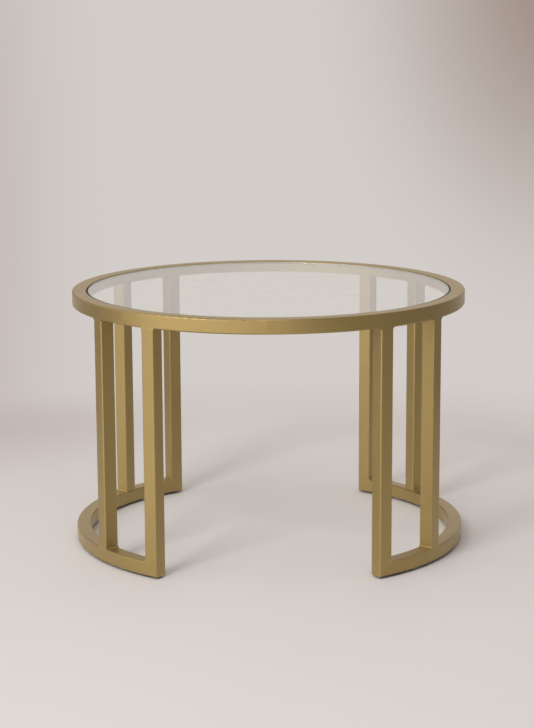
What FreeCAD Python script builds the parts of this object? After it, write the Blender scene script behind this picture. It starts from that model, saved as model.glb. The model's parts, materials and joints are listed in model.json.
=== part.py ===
import FreeCAD, Part
import math
import os

# Round glass-top coffee table, in millimetres.
# The origin is on the floor under the centre of the top, +Z is up and the open front faces -Y.
# A plan angle is measured from the front, -Y, and grows towards the right, +X.

Vector = FreeCAD.Vector
ORIGIN = Vector(0, 0, 0)
UP = Vector(0, 0, 1)

# Driving dimensions of the frame
TABLE_RADIUS = 350.0
FRAME_HEIGHT = 450.0  # from the underside of the base arcs to the top of the ring
TUBE = 25.0  # outside width of the square tube
TUBE_WALL = 1.5
TUBE_CORNER = 2.5  # outside corner radius of the tube
PAIR_ANGLE = 45.0  # plan angle of the middle of a pair of uprights
PAIR_SPREAD = 21.0  # plan angle between the two uprights of a pair
WELD_LEG = 1.8  # how far a weld bead reaches along each face it joins
WELD_HOLLOW = 0.34  # share of the leg left at the middle of the bead's hollow face

# Driving dimensions of the loose top and what carries it
GLASS_THICKNESS = 6.0
GLASS_GAP = 2.5  # radial gap between the glass and the ring
GLASS_RECESS = 1.0  # how far the glass lies below the top of the ring
GLASS_ARRIS = 0.8  # ground edge
SEAT_BAR_WIDTH = 6.0
SEAT_BAR_HEIGHT = 15.0
SEAT_BAR_EDGE = 0.8
SEAT_PAD_HEIGHT = 2.0
SEAT_PAD_WIDTH = 4.0
SEAT_PAD_SPAN = 3.0  # plan angle covered by one pad
SEAT_PAD_COUNT = 8

# Driving dimensions of the floor pads
FLOOR_PAD_RADIUS = 6.35
FLOOR_PAD_HEIGHT = 3.5
FLOOR_PAD_EDGE = 1.2
FLOOR_PAD_ANGLE = 47.5  # plan angle of a front pad; the rear pads mirror the front ones

# Levels and radii that follow from them
ARC_BOTTOM = FLOOR_PAD_HEIGHT
TABLE_HEIGHT = ARC_BOTTOM + FRAME_HEIGHT
ARC_TOP = ARC_BOTTOM + TUBE
RING_BOTTOM = TABLE_HEIGHT - TUBE
INNER_RADIUS = TABLE_RADIUS - TUBE
TUBE_CENTRE_RADIUS = TABLE_RADIUS - TUBE / 2
GLASS_BOTTOM = TABLE_HEIGHT - GLASS_RECESS - GLASS_THICKNESS
SEAT_TOP = GLASS_BOTTOM - SEAT_PAD_HEIGHT
SEAT_BAR_INNER_RADIUS = INNER_RADIUS - SEAT_BAR_WIDTH
# The flat outer face of an upright has its two edges on the ring's outer radius.
UPRIGHT_FACE = math.sqrt(TABLE_RADIUS**2 - (TUBE / 2) ** 2)
CUTTER_REACH = 2 * TUBE  # how far a cutting block extends past what it cuts

END_ANGLE = PAIR_ANGLE - PAIR_SPREAD / 2
INNER_ANGLE = PAIR_ANGLE + PAIR_SPREAD / 2
SIDES = {"left": -1, "right": 1}
# Position along a side: its plan angle, and the way to the arc (0 when it stands on the arc).
UPRIGHTS = {
    "front_end": (END_ANGLE, 1),
    "front_inner": (INNER_ANGLE, 0),
    "rear_inner": (180 - INNER_ANGLE, 0),
    "rear_end": (180 - END_ANGLE, -1),
}


def turned(shape, plan_angle):
    """Turn a shape that lies towards +X so that it lies at a plan angle."""
    copy = shape.copy()
    copy.rotate(ORIGIN, UP, plan_angle - 90)
    return copy


def rounded_square(side, radius):
    """Face of a square with rounded corners, centred on the origin in the XY plane."""
    flat = side / 2 - radius
    diagonal = flat + radius * math.sqrt(0.5)
    edges = []
    for quarter in range(4):
        turn = FreeCAD.Rotation(UP, 90 * quarter)
        side_start = turn.multVec(Vector(side / 2, -flat, 0))
        side_end = turn.multVec(Vector(side / 2, flat, 0))
        corner_middle = turn.multVec(Vector(diagonal, diagonal, 0))
        corner_end = turn.multVec(Vector(flat, side / 2, 0))
        edges.append(Part.makeLine(side_start, side_end))
        edges.append(Part.Arc(side_end, corner_middle, corner_end).toShape())
    return Part.Face(Part.Wire(edges))


def tube_sections():
    """The filled outline of the square tube, and the outline of its hollow."""
    outside = rounded_square(TUBE, TUBE_CORNER)
    hollow = rounded_square(TUBE - 2 * TUBE_WALL, TUBE_CORNER - TUBE_WALL)
    return outside, hollow


def swept_round(face, start_angle, sweep):
    """Sweep a face of the XZ plane round the table's axis, from a plan angle through a sweep."""
    return turned(face, start_angle).revolve(ORIGIN, UP, sweep)


def rolled(section, centre_z, start_angle, sweep):
    """A tube section rolled round the table's axis with its centre at a height."""
    standing = section.copy()
    standing.rotate(ORIGIN, Vector(1, 0, 0), 90)
    standing.translate(Vector(TUBE_CENTRE_RADIUS, 0, centre_z))
    return swept_round(standing, start_angle, sweep)


def straight(section, bottom, top):
    """A tube section standing at +X with its outer face flush with the ring, cut square."""
    base = section.copy()
    base.translate(Vector(UPRIGHT_FACE - TUBE / 2, 0, bottom))
    return base.extrude(Vector(0, 0, top - bottom))


def radial_rectangle(inner_radius, outer_radius, bottom, top):
    """Rectangle in the XZ plane between two radii and two heights."""
    corners = [
        Vector(inner_radius, 0, bottom),
        Vector(outer_radius, 0, bottom),
        Vector(outer_radius, 0, top),
        Vector(inner_radius, 0, top),
    ]
    return Part.Face(Part.makePolygon(corners + corners[:1]))


def circular_edges(shape):
    """The edges of a shape that are circles."""
    return [edge for edge in shape.Edges if isinstance(edge.Curve, Part.Circle)]


def through_upright(outline):
    """Extrude an outline in the YZ plane right through the depth of an upright at +X."""
    face = Part.Face(outline)
    face.translate(Vector(INNER_RADIUS - TUBE, 0, 0))
    return face.extrude(Vector(3 * TUBE, 0, 0))


def mitre_block(towards_arc, side):
    """Block on one side of the 45 degree mitre where an end upright at +X meets its arc.

    side 1 is the block over the mitre, which trims the arc, and side -1 is the block under it,
    which trims the upright.
    """
    low_corner = Vector(0, -towards_arc * TUBE / 2, ARC_BOTTOM)
    along = Vector(0, towards_arc, 1) * CUTTER_REACH
    across = Vector(0, -towards_arc, 1) * CUTTER_REACH * side
    start = low_corner - along
    end = low_corner + along
    return through_upright(Part.makePolygon([start, end, end + across, start + across, start]))


def make_ring():
    """The rolled tube ring round the glass: a closed tube, so its hollow is a sealed void."""
    outside, hollow = tube_sections()
    centre_z = RING_BOTTOM + TUBE / 2
    return rolled(outside, centre_z, 0, 360).cut(rolled(hollow, centre_z, 0, 360))


def arc_body(section, side):
    """An untrimmed C-shaped base arc, running past both of its end uprights."""
    overrun = math.degrees(TUBE / INNER_RADIUS)
    start = END_ANGLE - overrun if side > 0 else 180 + END_ANGLE - overrun
    return rolled(section, ARC_BOTTOM + TUBE / 2, start, 180 - 2 * END_ANGLE + 2 * overrun)


def make_arc(side):
    """A C-shaped base arc, mitred at both ends."""
    outside, hollow = tube_sections()
    arc = arc_body(outside, side).cut(arc_body(hollow, side))
    for plan_angle, towards_arc in UPRIGHTS.values():
        if towards_arc:
            block = mitre_block(side * towards_arc, 1)
            arc = arc.cut(turned(block, side * plan_angle))
    return arc


def make_upright(side, plan_angle, towards_arc):
    """An upright: an inner one stands on its arc, an end one runs down into the mitre."""
    outside, hollow = tube_sections()
    bottom = ARC_BOTTOM if towards_arc else ARC_TOP
    upright = straight(outside, bottom, RING_BOTTOM).cut(straight(hollow, bottom, RING_BOTTOM))
    if towards_arc:
        upright = upright.cut(mitre_block(side * towards_arc, -1))
    return turned(upright, side * plan_angle)


def bead_outline(flank, face_z, growth):
    """Half of a weld's outline, from its middle to one flank of the upright.

    flank is -1 or 1, and growth is the way the bead grows along the upright, -1 under the ring
    and 1 over an arc. The outline also fills the rounded edge of the rolled tube.
    """
    side_face = flank * TUBE / 2
    toe = Vector(0, side_face + flank * WELD_LEG, face_z)
    throat = Vector(0, side_face + flank * WELD_LEG * WELD_HOLLOW, face_z + growth * WELD_LEG * WELD_HOLLOW)
    crown = Vector(0, side_face, face_z + growth * WELD_LEG)
    root_z = face_z - growth * TUBE_CORNER
    corners = [crown, Vector(0, 0, crown.z), Vector(0, 0, root_z), Vector(0, toe.y, root_z), toe]
    hollow_face = Part.Arc(toe, throat, crown).toShape()
    return Part.Wire(Part.makePolygon(corners).Edges + [hollow_face])


def weld(flanks, face_z, growth, plan_angle, rolled_tube):
    """The weld that joins an upright to a rolled tube, ground flush inside and outside."""
    outside, _ = tube_sections()
    halves = [through_upright(bead_outline(flank, face_z, growth)) for flank in flanks]
    block = halves[0].multiFuse(halves[1:]) if len(halves) > 1 else halves[0]
    block = turned(block.cut(straight(outside, 0, TABLE_HEIGHT)), plan_angle)
    flush_limits = radial_rectangle(INNER_RADIUS, TABLE_RADIUS, 0, TABLE_HEIGHT)
    return block.common(swept_round(flush_limits, 0, 360)).cut(rolled_tube).Solids


def make_ring_welds():
    """One weld round the top of each upright."""
    outside, _ = tube_sections()
    ring = rolled(outside, RING_BOTTOM + TUBE / 2, 0, 360)
    solids = []
    for side in SIDES.values():
        for plan_angle, _ in UPRIGHTS.values():
            solids += weld((-1, 1), RING_BOTTOM, -1, side * plan_angle, ring)
    return Part.makeCompound(solids)


def make_base_welds(side):
    """One weld at the foot of each upright of a side; an end upright has it on one flank."""
    outside, _ = tube_sections()
    arc = arc_body(outside, side)
    solids = []
    for plan_angle, towards_arc in UPRIGHTS.values():
        flanks = (side * towards_arc,) if towards_arc else (-1, 1)
        solids += weld(flanks, ARC_TOP, 1, side * plan_angle, arc)
    return Part.makeCompound(solids)


def make_seat_bar():
    """Flat bar rolled on edge and welded inside the ring; the glass rests over its top."""
    section = radial_rectangle(SEAT_BAR_INNER_RADIUS, INNER_RADIUS, SEAT_TOP - SEAT_BAR_HEIGHT, SEAT_TOP)
    bar = swept_round(section, 0, 360)
    inner_edges = [edge for edge in circular_edges(bar) if edge.Curve.Radius < INNER_RADIUS]
    return bar.makeFillet(SEAT_BAR_EDGE, inner_edges)


def make_glass_pads():
    """Clear pads spaced round the seat bar's top, between it and the glass."""
    inner_radius = SEAT_BAR_INNER_RADIUS + (SEAT_BAR_WIDTH - SEAT_PAD_WIDTH) / 2
    section = radial_rectangle(inner_radius, inner_radius + SEAT_PAD_WIDTH, SEAT_TOP, GLASS_BOTTOM)
    pads = []
    for number in range(SEAT_PAD_COUNT):
        start = 360 * number / SEAT_PAD_COUNT - SEAT_PAD_SPAN / 2
        pads.append(swept_round(section, start, SEAT_PAD_SPAN))
    return Part.makeCompound(pads)


def make_glass():
    """The round glass plate, its top a little below the ring's, with both edges ground."""
    radius = INNER_RADIUS - GLASS_GAP
    plate = Part.makeCylinder(radius, GLASS_THICKNESS, Vector(0, 0, GLASS_BOTTOM))
    return plate.makeChamfer(GLASS_ARRIS, circular_edges(plate))


def make_floor_pad(plan_angle):
    """A clear round bumper under an arc, flat where it touches the floor."""
    pad = Part.makeCylinder(FLOOR_PAD_RADIUS, FLOOR_PAD_HEIGHT, Vector(TUBE_CENTRE_RADIUS, 0, 0))
    floor_edge = [edge for edge in circular_edges(pad) if edge.Curve.Center.z == 0]
    return turned(pad.makeFillet(FLOOR_PAD_EDGE, floor_edge), plan_angle)


def make_parts():
    """Every piece of the table, by name."""
    parts = {
        "top_ring": make_ring(),
        "glass_seat_bar": make_seat_bar(),
        "glass_pads": make_glass_pads(),
        "glass_top": make_glass(),
        "ring_welds": make_ring_welds(),
    }
    for name, side in SIDES.items():
        parts[f"{name}_base_arc"] = make_arc(side)
        parts[f"{name}_base_welds"] = make_base_welds(side)
        parts[f"{name}_front_floor_pad"] = make_floor_pad(side * FLOOR_PAD_ANGLE)
        parts[f"{name}_rear_floor_pad"] = make_floor_pad(side * (180 - FLOOR_PAD_ANGLE))
        for position, (plan_angle, towards_arc) in UPRIGHTS.items():
            parts[f"{name}_{position}_upright"] = make_upright(side, plan_angle, towards_arc)
    return parts


def export(parts):
    """Write each piece to its own STEP file, and say what it holds."""
    os.makedirs("parts", exist_ok=True)
    for name, shape in parts.items():
        shape.exportStep(f"parts/{name}.step")
        valid = all(solid.isValid() for solid in shape.Solids)
        print(f"{name}: solids {len(shape.Solids)}, valid {valid}, volume {shape.Volume:.0f} mm3")


export(make_parts())
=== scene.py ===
import json
import math

import bmesh
import bpy
from mathutils import Matrix, Vector


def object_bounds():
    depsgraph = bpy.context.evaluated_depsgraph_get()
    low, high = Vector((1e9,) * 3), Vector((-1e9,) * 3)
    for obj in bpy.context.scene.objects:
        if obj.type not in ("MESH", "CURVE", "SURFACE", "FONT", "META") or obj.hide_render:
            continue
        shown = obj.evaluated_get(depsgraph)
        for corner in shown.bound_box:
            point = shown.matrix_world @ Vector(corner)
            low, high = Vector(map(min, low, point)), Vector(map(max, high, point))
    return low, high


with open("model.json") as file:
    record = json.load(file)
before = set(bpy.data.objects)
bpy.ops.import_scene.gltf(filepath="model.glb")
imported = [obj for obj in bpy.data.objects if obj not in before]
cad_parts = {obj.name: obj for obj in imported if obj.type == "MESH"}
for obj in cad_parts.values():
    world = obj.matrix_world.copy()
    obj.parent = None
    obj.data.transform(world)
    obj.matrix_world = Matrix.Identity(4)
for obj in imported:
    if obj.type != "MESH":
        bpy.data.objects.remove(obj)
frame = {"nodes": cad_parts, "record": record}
cad_low, cad_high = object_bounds()

# Lengths are in metres, angles in degrees and colours linear, unless a name says otherwise.
ORIGIN = Vector((0, 0, 0))
UP = Vector((0, 0, 1))

# The camera stands in front of the open side, a little right of the middle, looking slightly down.
CAMERA_POSITION = Vector((0.026, -3.341, 0.965))
CAMERA_PITCH_DOWN = 11.05
CAMERA_YAW = 0.50
CAMERA_ROLL = 0.26
CAMERA_LENS_MM = 93.3
CAMERA_SENSOR_MM = 36.0
CAMERA_REACH = 100.0

# Soft lit areas of the room: azimuth and elevation of the middle, half angle that is fully lit,
# half angle where it ends, and strength. Azimuth 0 is in front of the table, 90 is on its right.
STUDIO_AREAS = {
    "backdrop": (180, -5, 20, 55, 0.39),
    "ceiling": (0, 90, 20, 60, 0.55),
    "left window": (-66, 15, 8, 34, 1.00),
    "front left window": (-36, 25, 8, 34, 0.80),
    "floor in front": (-30, -25, 22, 60, 0.76),
}
ROOM_GLOW = 0.26
ROOM_TONE = (1.075, 0.998, 0.955)

# The key light is a square soft box high on the front left; its offset is from the table's middle.
KEY_POWER_W = 56.0
KEY_OFFSET = Vector((-1.75, -2.8, 2.73))
KEY_SIZE = 1.05
KEY_TONE = (0.99, 1.0, 1.015)

# Painted shade on the backdrop, which darkens a little towards its top right corner and its left side:
# azimuth and elevation of the darkest point, and the half width and half height of the patch.
BACKDROP_DARK_CORNER = (170.9, 0.9, 8.9, 11.9)
BACKDROP_DARK_SIDE = (191.9, -5.0, 7.2, 31.0)
BACKDROP = (0.652, 0.612, 0.587)
BACKDROP_CORNER = (0.33, 0.25, 0.21)
BACKDROP_SIDE = (0.50, 0.43, 0.41)

# The floor is a round sheet of paper that fades into the backdrop. Its colour runs from PAPER to
# PAPER_SHADE: a little at random, and as a painted shade that is deepest at a spot on the far left.
FLOOR_RADIUS = 4.0
FLOOR_SIDES = 96
FLOOR_FADE_START = 0.95
FLOOR_FADE_END = 1.5
PAPER = (0.757, 0.742, 0.735)
PAPER_SHADE = (0.61, 0.565, 0.545)
PAINTED_SHADE_SPOT = Vector((-0.80, 0.90, 0.0))
PAINTED_SHADE_REACH = 0.75
PAPER_RELIEF = 0.0001

BRASS_COAT = (0.410, 0.301, 0.106)
# Lighter colour of the edges and the radius of that band: partly rubbed wear, partly a painted highlight.
BRASS_EDGE_RUB_AND_HIGHLIGHT = (0.56, 0.43, 0.19)
BRASS_RELIEF = 0.00003
EDGE_RUB_AND_HIGHLIGHT_RADIUS = 0.0022

# Painted shade in gaps: there the frame's colour is darkened and its coat thinned. The reach within which
# open sky is looked for, and the two shares of open sky between which it goes from dark to its full
# colour.
GAP_SHADE_REACH = 0.01
GAP_SHADE_OPEN_SKY = (0.10, 0.40)

GLASS_TINT = (0.88, 0.905, 0.88)
GLASS_EDGE_TINT = (0.06, 0.15, 0.13)
GLASS_SHADOW_TINT = (0.98, 0.985, 0.98)
GLASS_GRIND_RELIEF = 0.00003
DUST = (0.85, 0.84, 0.82)

PAD_TINT = (0.95, 0.95, 0.93)
PAD_HAZE_TINT = (0.93, 0.93, 0.92)
PAD_SHADOW_TINT = (0.7, 0.7, 0.7)
PAD_RELIEF = 0.00004

# A noise mostly stays between these two values.
NOISE_RANGE = (0.3, 0.7)

# Places of the colour sockets of a Mix node
MIX_FACTOR = 0
MIX_A = 6
MIX_B = 7
MIX_RESULT = 2


class Graph:
    """A node tree that is written as nested calls; an argument is a value or another node's output."""

    def __init__(self, tree):
        self.tree = tree
        tree.nodes.clear()

    def connect(self, socket, value):
        """Link another node's output to a socket, or set its value."""
        if isinstance(value, bpy.types.NodeSocket):
            self.tree.links.new(value, socket)
        elif isinstance(value, tuple):
            socket.default_value = (*value, 1.0)
        else:
            socket.default_value = value

    def add(self, kind, inputs=None, **settings):
        """Make a node."""
        node = self.tree.nodes.new("ShaderNode" + kind)
        for name, value in settings.items():
            setattr(node, name, value)
        for key, value in (inputs or {}).items():
            self.connect(node.inputs[key], value)
        return node

    def place(self):
        """Place on the object, in metres."""
        return self.add("TexCoord").outputs["Object"]

    def math(self, operation, a, b=0.0):
        return self.add("Math", {0: a, 1: b}, operation=operation).outputs["Value"]

    def distance(self, a, b):
        return self.add("VectorMath", {0: a, 1: b}, operation="DISTANCE").outputs["Value"]

    def dot(self, a, b):
        return self.add("VectorMath", {0: a, 1: b}, operation="DOT_PRODUCT").outputs["Value"]

    def vector(self, operation, a, b):
        return self.add("VectorMath", {0: a, 1: b}, operation=operation).outputs["Vector"]

    def ramp(self, value, start, end, low=0.0, high=1.0):
        """Smooth step from low, where the value is at start, to high, where it is at end."""
        inputs = {"Value": value, "From Min": start, "From Max": end, "To Min": low, "To Max": high}
        return self.add("MapRange", inputs, interpolation_type="SMOOTHSTEP").outputs["Result"]

    def noise(self, vector, scale, detail=2.0, roughness=0.5):
        """Smooth noise; scale is in cells per metre."""
        inputs = {"Vector": vector, "Scale": scale, "Detail": detail, "Roughness": roughness}
        return self.add("TexNoise", inputs).outputs["Fac"]

    def spread(self, noise, low, high):
        """Stretch a noise so that it runs from low to high."""
        return self.ramp(noise, *NOISE_RANGE, low, high)

    def mix(self, factor, a, b):
        """Mix two colours."""
        inputs = {MIX_FACTOR: factor, MIX_A: a, MIX_B: b}
        return self.add("Mix", inputs, data_type="RGBA").outputs[MIX_RESULT]

    def bump(self, height, depth, strength):
        """Normal of a relief; a height of 1 stands for depth."""
        inputs = {"Height": height, "Distance": depth, "Strength": strength}
        return self.add("Bump", inputs).outputs["Normal"]

    def bsdf(self, kind, inputs=None):
        return self.add("Bsdf" + kind, inputs).outputs["BSDF"]

    def blend(self, factor, a, b):
        """Mix two shaders."""
        return self.add("MixShader", {0: factor, 1: a, 2: b}).outputs["Shader"]

    def output(self, shader, kind="Material"):
        self.add("Output" + kind, {"Surface": shader})


def new_material(name):
    material = bpy.data.materials.new(name)
    material.use_nodes = True
    return material, Graph(material.node_tree)


def brass_coat():
    """Satin brass-toned paint over steel.

    It has a fine metallic grain, a slight orange peel, edges lightened partly by rubbing and partly by a
    painted highlight, and painted shade in gaps.
    """
    material, graph = new_material("satin_brass_coat")
    place = graph.place()
    cloud = graph.noise(place, scale=7.0, detail=3.0)
    mottle = graph.noise(place, scale=90.0, detail=3.0)
    grain = graph.noise(place, scale=2600.0, detail=1.0)
    peel = graph.noise(place, scale=420.0, detail=2.0)
    rounded = graph.add("Bevel", {"Radius": EDGE_RUB_AND_HIGHLIGHT_RADIUS}, samples=4).outputs["Normal"]
    surface = graph.add("NewGeometry").outputs["Normal"]
    edge = graph.ramp(graph.dot(rounded, surface), start=0.999, end=0.93)
    open_sky = graph.add("AmbientOcclusion", {"Distance": GAP_SHADE_REACH}, samples=8).outputs["AO"]

    shade = graph.math("ADD", graph.spread(cloud, 0.97, 1.03), graph.spread(mottle, -0.02, 0.02))
    shade = graph.math("ADD", shade, graph.spread(grain, -0.05, 0.05))
    # Painted shade: the colour is darkened in gaps, and the coat weight below is thinned there.
    shade = graph.math("MULTIPLY", shade, graph.ramp(open_sky, *GAP_SHADE_OPEN_SKY, low=0.12, high=1.0))
    # Edges are lightened, partly as rubbed wear and partly as a painted highlight.
    coat = graph.mix(graph.math("MULTIPLY", edge, 0.2), BRASS_COAT, BRASS_EDGE_RUB_AND_HIGHLIGHT)
    colour = graph.add("HueSaturation", {"Value": shade, "Color": coat}).outputs["Color"]
    satin = graph.spread(mottle, 0.46, 0.52)
    height = graph.math("ADD", peel, graph.math("MULTIPLY", grain, 0.25))
    shader = graph.bsdf(
        "Principled",
        {
            "Base Color": colour,
            "Metallic": 0.92,
            "Roughness": graph.math("ADD", satin, graph.math("MULTIPLY", edge, -0.02)),
            "Coat Weight": graph.ramp(open_sky, *GAP_SHADE_OPEN_SKY, low=0.1, high=0.7),
            "Coat Roughness": 0.40,
            "Normal": graph.bump(height, BRASS_RELIEF, strength=0.5),
        },
    )
    graph.output(shader)
    return material


def shadow_friendly(graph, shader, tint):
    """Let light reach what lies behind, with a tint, instead of leaving a dark shadow."""
    see_through = graph.bsdf("Transparent", {"Color": tint})
    path = graph.add("LightPath")
    lighting = graph.math("MAXIMUM", path.outputs["Is Shadow Ray"], path.outputs["Is Diffuse Ray"])
    return graph.blend(lighting, shader, see_through)


def clear_glass():
    """Polished float glass with a darker, rougher ground rim.

    Its faces hold wipe marks and a little dust.
    """
    material, graph = new_material("clear_glass")
    face_normal = graph.add("NewGeometry").outputs["True Normal"]
    level = graph.math("ABSOLUTE", graph.dot(face_normal, UP))
    rim = graph.ramp(level, start=0.95, end=0.80)
    place = graph.place()
    smear = graph.noise(place, scale=14.0, detail=4.0, roughness=0.6)
    grind = graph.noise(place, scale=3000.0, detail=1.0)
    face_roughness = graph.ramp(smear, start=0.45, end=0.75, low=0.0, high=0.025)
    clean = graph.bsdf(
        "Principled",
        {
            "Base Color": graph.mix(rim, GLASS_TINT, GLASS_EDGE_TINT),
            "Roughness": graph.math("ADD", face_roughness, graph.math("MULTIPLY", rim, 0.35)),
            "IOR": 1.52,
            "Transmission Weight": 1.0,
            "Normal": graph.bump(grind, GLASS_GRIND_RELIEF, strength=graph.math("MULTIPLY", rim, 0.5)),
        },
    )
    dust = graph.bsdf("Diffuse", {"Color": DUST})
    film = graph.ramp(smear, start=0.3, end=0.8, low=0.03, high=0.07)
    graph.output(shadow_friendly(graph, graph.blend(film, clean, dust), GLASS_SHADOW_TINT))
    return material


def clear_pad():
    """Clear soft plastic with a slightly hazy skin."""
    material, graph = new_material("clear_soft_plastic")
    haze = graph.noise(graph.place(), scale=900.0)
    shader = graph.bsdf(
        "Principled",
        {
            "Base Color": graph.mix(haze, PAD_TINT, PAD_HAZE_TINT),
            "Roughness": graph.spread(haze, 0.2, 0.32),
            "IOR": 1.45,
            "Transmission Weight": 0.85,
            "Normal": graph.bump(haze, PAD_RELIEF, strength=0.4),
        },
    )
    graph.output(shadow_friendly(graph, shader, PAD_SHADOW_TINT))
    return material


def paper_floor():
    """Matt studio paper that fades out with distance into the backdrop."""
    material, graph = new_material("studio_paper")
    place = graph.place()
    fibre = graph.noise(place, scale=700.0)
    clouding = graph.spread(graph.noise(place, scale=3.0), 0.0, 0.06)
    # Painted shade: the paper is darkened round a spot on the far left.
    spot = graph.ramp(graph.distance(place, PAINTED_SHADE_SPOT), start=PAINTED_SHADE_REACH, end=0.0)
    shader = graph.bsdf(
        "Principled",
        {
            "Base Color": graph.mix(graph.math("ADD", spot, clouding), PAPER, PAPER_SHADE),
            "Roughness": 0.75,
            "Specular IOR Level": 0.25,
            "Normal": graph.bump(fibre, PAPER_RELIEF, strength=0.15),
        },
    )
    fade = graph.ramp(graph.distance(place, ORIGIN), FLOOR_FADE_START, FLOOR_FADE_END)
    graph.output(graph.blend(fade, shader, graph.bsdf("Transparent")))
    return material


def make_floor():
    """A round sheet of paper under the table."""
    mesh = bpy.data.meshes.new("floor")
    sheet = bmesh.new()
    bmesh.ops.create_circle(sheet, cap_ends=True, segments=FLOOR_SIDES, radius=FLOOR_RADIUS)
    sheet.to_mesh(mesh)
    sheet.free()
    mesh.materials.append(paper_floor())
    floor = bpy.data.objects.new("floor", mesh)
    bpy.context.scene.collection.objects.link(floor)


def facing(azimuth, elevation):
    """Unit vector towards a part of the room; azimuth 0 is in front of the table and 90 on its right."""
    around = math.radians(azimuth)
    up = math.radians(elevation)
    return Vector((math.sin(around) * math.cos(up), -math.cos(around) * math.cos(up), math.sin(up)))


def patch(graph, direction, azimuth, elevation, half_width, half_height):
    """1 at a point of the backdrop, falling to 0 at the rim of an ellipse round it."""
    across = 1 / math.radians(half_width)
    upward = 1 / math.radians(half_height)
    offset = graph.vector("SUBTRACT", direction, facing(azimuth, elevation))
    scaled = graph.vector("MULTIPLY", offset, Vector((across, across, upward)))
    return graph.ramp(graph.distance(scaled, ORIGIN), start=1.0, end=0.0)


def studio_glow(graph, direction):
    """Strength of the light from the room: an even glow with the lit areas on top."""
    glow = ROOM_GLOW
    for azimuth, elevation, full_angle, end_angle, strength in STUDIO_AREAS.values():
        nearness = graph.dot(direction, facing(azimuth, elevation))
        end = math.cos(math.radians(end_angle))
        full = math.cos(math.radians(full_angle))
        glow = graph.math("ADD", graph.ramp(nearness, end, full, high=strength), glow)
    return glow


def make_world():
    """Plain backdrop for the camera, and round the table a soft studio that is lit from the front left."""
    world = bpy.data.worlds.new("studio")
    bpy.context.scene.world = world
    world.use_nodes = True
    graph = Graph(world.node_tree)
    direction = graph.add("TexCoord").outputs["Generated"]
    studio = {"Color": ROOM_TONE, "Strength": studio_glow(graph, direction)}
    around = graph.add("Background", studio).outputs["Background"]
    # Painted shade: the backdrop is darkened in two patches.
    corner = patch(graph, direction, *BACKDROP_DARK_CORNER)
    side = patch(graph, direction, *BACKDROP_DARK_SIDE)
    plain = graph.mix(side, graph.mix(corner, BACKDROP, BACKDROP_CORNER), BACKDROP_SIDE)
    behind = graph.add("Background", {"Color": plain, "Strength": 1.0}).outputs["Background"]
    is_camera = graph.add("LightPath").outputs["Is Camera Ray"]
    graph.output(graph.blend(is_camera, around, behind), "World")


def make_key_light():
    """The soft box, aimed at the middle of the table; the camera doesn't see it."""
    data = bpy.data.lights.new("key", "AREA")
    data.shape = "SQUARE"
    data.size = KEY_SIZE
    data.energy = KEY_POWER_W
    data.color = KEY_TONE
    light = bpy.data.objects.new("key", data)
    light.location = (cad_low + cad_high) / 2 + KEY_OFFSET
    light.rotation_euler = (-KEY_OFFSET).to_track_quat("-Z", "Y").to_euler()
    light.visible_camera = False
    bpy.context.scene.collection.objects.link(light)


def make_camera():
    data = bpy.data.cameras.new("camera")
    data.lens = CAMERA_LENS_MM
    data.sensor_width = CAMERA_SENSOR_MM
    data.clip_end = CAMERA_REACH
    camera = bpy.data.objects.new("camera", data)
    turn = Matrix.Rotation(math.radians(CAMERA_YAW), 4, "Z")
    tilt = Matrix.Rotation(math.radians(90 - CAMERA_PITCH_DOWN), 4, "X")
    roll = Matrix.Rotation(math.radians(-CAMERA_ROLL), 4, "Z")
    camera.matrix_world = Matrix.Translation(CAMERA_POSITION) @ turn @ tilt @ roll
    bpy.context.scene.collection.objects.link(camera)
    bpy.context.scene.camera = camera


def dress_cad():
    """Give every CAD node the material of its slot."""
    materials = {"frame": brass_coat(), "glass": clear_glass(), "clear_pad": clear_pad()}
    for subpart in frame["record"]["subparts"]:
        node = frame["nodes"][subpart["node"]]
        node.data.materials.clear()
        node.data.materials.append(materials[subpart["material_slot"]])


bpy.context.scene.view_settings.view_transform = "Standard"
dress_cad()
make_floor()
make_world()
make_key_light()
make_camera()
